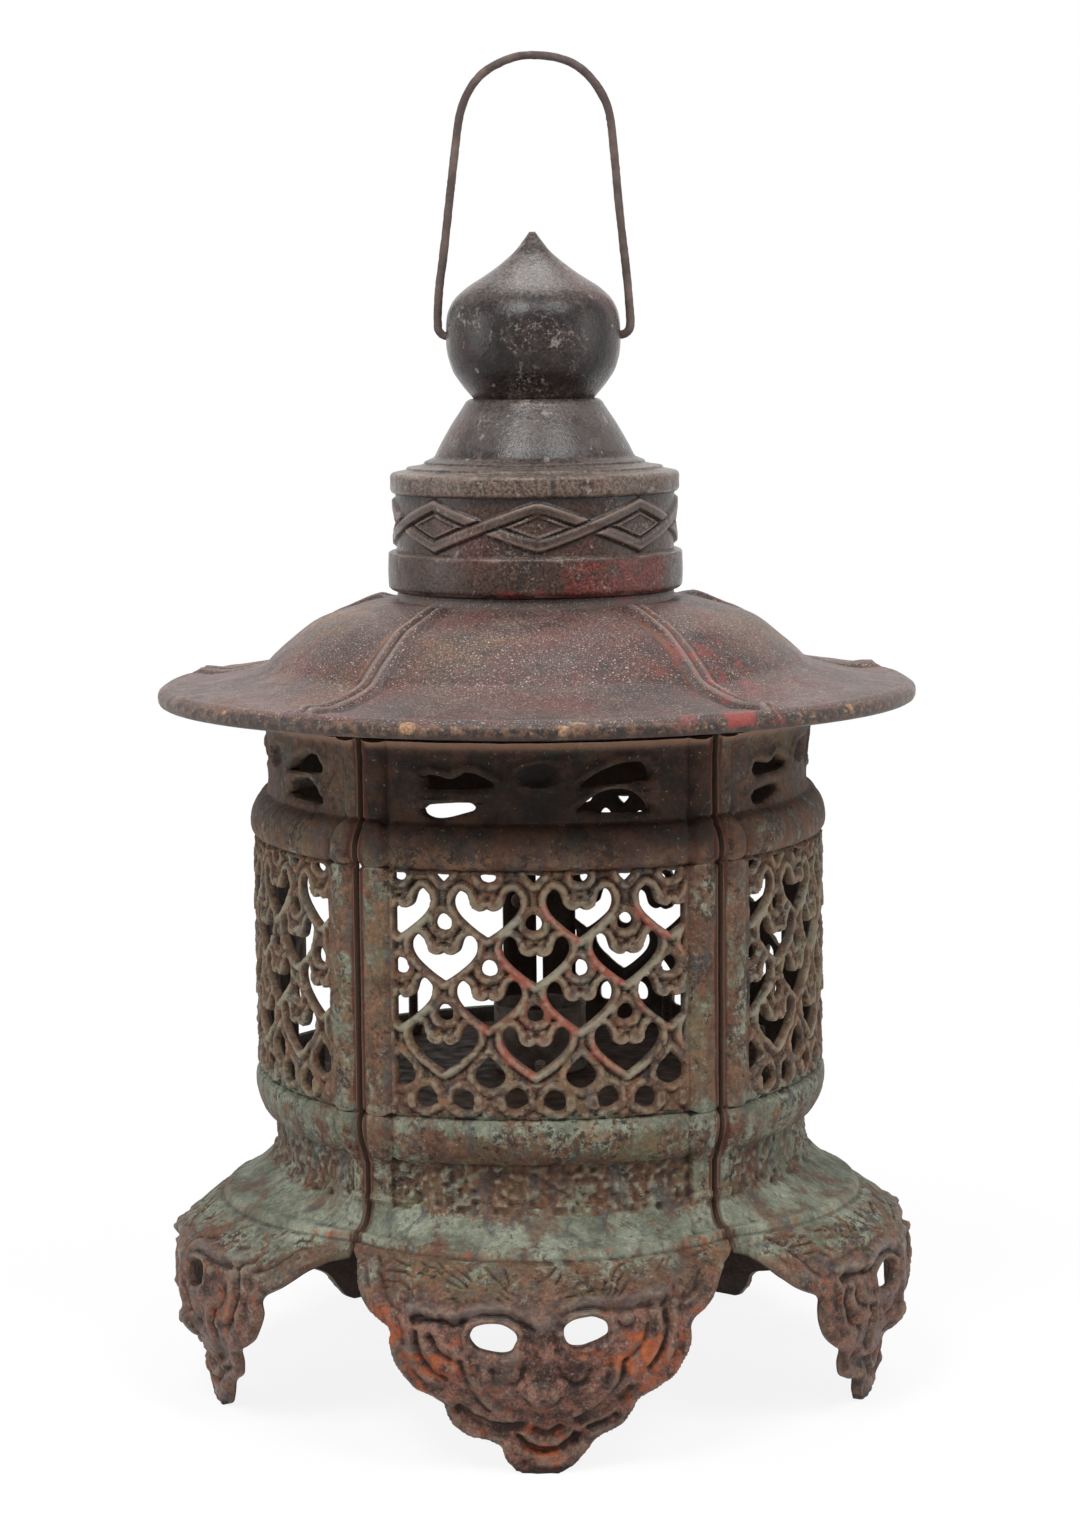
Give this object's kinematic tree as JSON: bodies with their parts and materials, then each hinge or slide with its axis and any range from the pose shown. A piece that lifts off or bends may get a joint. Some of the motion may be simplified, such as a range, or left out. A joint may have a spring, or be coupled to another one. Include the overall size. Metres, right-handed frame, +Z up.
{
  "type": "pagoda lantern",
  "caption": "Cast-iron pagoda lantern: lobed roof under an onion finial with a wire bail, curved heart-lattice panels ending in mask feet, a hinged lattice door and a candle cup.",
  "frame": {"origin": "on the lantern's axis, in the plane of the foot tips that it stands on", "axes": "+Z up along the axis, -Y towards the viewer through the front panel, +X to the viewer's right"},
  "size_m": [0.23, 0.2389, 0.4043],
  "materials": {
    "dark_iron": "aged dark brown-black cast iron with grey patina and remnants of red paint",
    "roof_iron": "aged brown-black cast iron with pale specks and ochre rust at the rim",
    "verdigris_iron": "cast iron with a grey-green verdigris film over brown rust",
    "lattice_iron": "olive-brown rusted cast iron with traces of brick-red paint",
    "rusty_plate": "brown rust, matt",
    "rusty_steel": "rusted steel fasteners",
    "bail_wire": "rusted brown iron wire"
  },
  "bodies": {
    "root": {"finial": "dark_iron", "cap": "dark_iron", "roof": "roof_iron", "tie_rod": "rusty_steel", "tie_rod_washer": "rusty_steel", "tie_rod_nut": "rusty_steel", "panel_front": "verdigris_iron", "panel_right": "verdigris_iron", "panel_rear_right": "verdigris_iron", "panel_rear_left": "verdigris_iron", "panel_left": "verdigris_iron", "roof_screw_front": "rusty_steel", "roof_screw_right": "rusty_steel", "roof_screw_rear_right": "rusty_steel", "roof_screw_rear_left": "rusty_steel", "roof_screw_left": "rusty_steel", "floor_bolt_front": "rusty_steel", "floor_bolt_right": "rusty_steel", "floor_bolt_rear_right": "rusty_steel", "floor_bolt_rear_left": "rusty_steel", "floor_bolt_left": "rusty_steel", "floor_nut_front": "rusty_steel", "floor_nut_right": "rusty_steel", "floor_nut_rear_right": "rusty_steel", "floor_nut_rear_left": "rusty_steel", "floor_nut_left": "rusty_steel", "floor_plate": "rusty_plate", "candle_cup": "rusty_plate", "candle_cup_rivet": "rusty_steel", "hinge_pin_lower": "rusty_steel", "hinge_pin_upper": "rusty_steel", "latch_rivet": "rusty_steel"},
    "bail": {"bail": "bail_wire"},
    "door": {"door": "lattice_iron"},
    "latch": {"latch": "rusty_steel"}
  },
  "joints": [
    {"name": "bail_swing", "type": "hinge", "parent": "root", "child": "bail", "pos_m": [0, 0, 0.31964], "axis": [1, 0, 0], "range_deg": [-130, 130]},
    {"name": "door_hinge", "type": "hinge", "parent": "root", "child": "door", "pos_m": [-0.08356, 0.03682, 0.13375], "axis": [0, 0, 1], "range_deg": [-54, 120]},
    {"name": "latch_turn", "type": "hinge", "parent": "root", "child": "latch", "pos_m": [-0.00705, 0.08864, 0.13375], "axis": [-0.0793, 0.9969, 0], "range_deg": [0, 90]}
  ]
}
